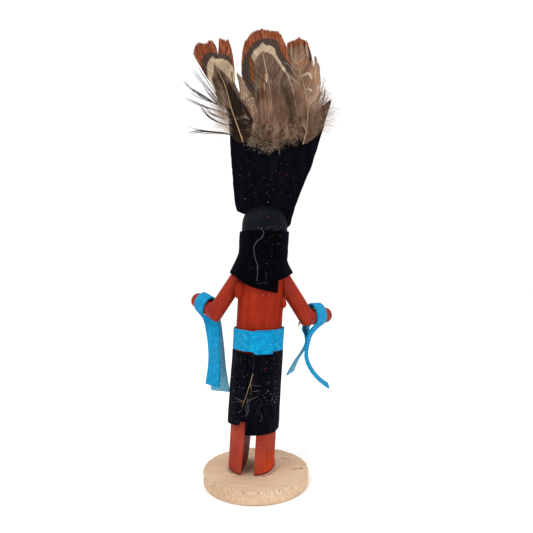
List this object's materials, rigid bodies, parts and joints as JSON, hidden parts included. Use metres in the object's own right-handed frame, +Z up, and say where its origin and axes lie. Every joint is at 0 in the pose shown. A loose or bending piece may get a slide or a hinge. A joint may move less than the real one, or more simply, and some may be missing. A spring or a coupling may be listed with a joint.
{
  "type": "kachina doll",
  "caption": "Small painted wooden dowel doll on a round raw wood base, with felt kilt and collar, suede belt and ribbons, and a felt-covered headdress board with pheasant feathers",
  "frame": {"origin": "centre of the base disc's underside", "axes": "+Z up, +Y the way the doll faces, +X the doll's own right; seen along +Y it shows its back"},
  "size_m": [0.0739, 0.0508, 0.2178],
  "materials": {
    "raw_wood": "raw pale wood with fine grain and a rough sawn rim",
    "painted_wood": "matte brick red paint on dowel, head dark slate blue",
    "black_felt": "black felt with lint",
    "turquoise_suede": "turquoise suede with a short nap",
    "pheasant_feather": "barred brown pheasant feather with soft down"
  },
  "bodies": {
    "root": {"base": "raw_wood", "body": "painted_wood", "upper_arm_left": "painted_wood", "upper_arm_right": "painted_wood", "forearm_left": "painted_wood", "forearm_right": "painted_wood", "headdress_board": "black_felt", "collar": "black_felt", "kilt": "black_felt", "belt": "turquoise_suede", "ribbon_left": "turquoise_suede", "ribbon_right": "turquoise_suede", "feather_left": "pheasant_feather", "feather_centre": "pheasant_feather", "feather_right": "pheasant_feather"}
  },
  "joints": []
}
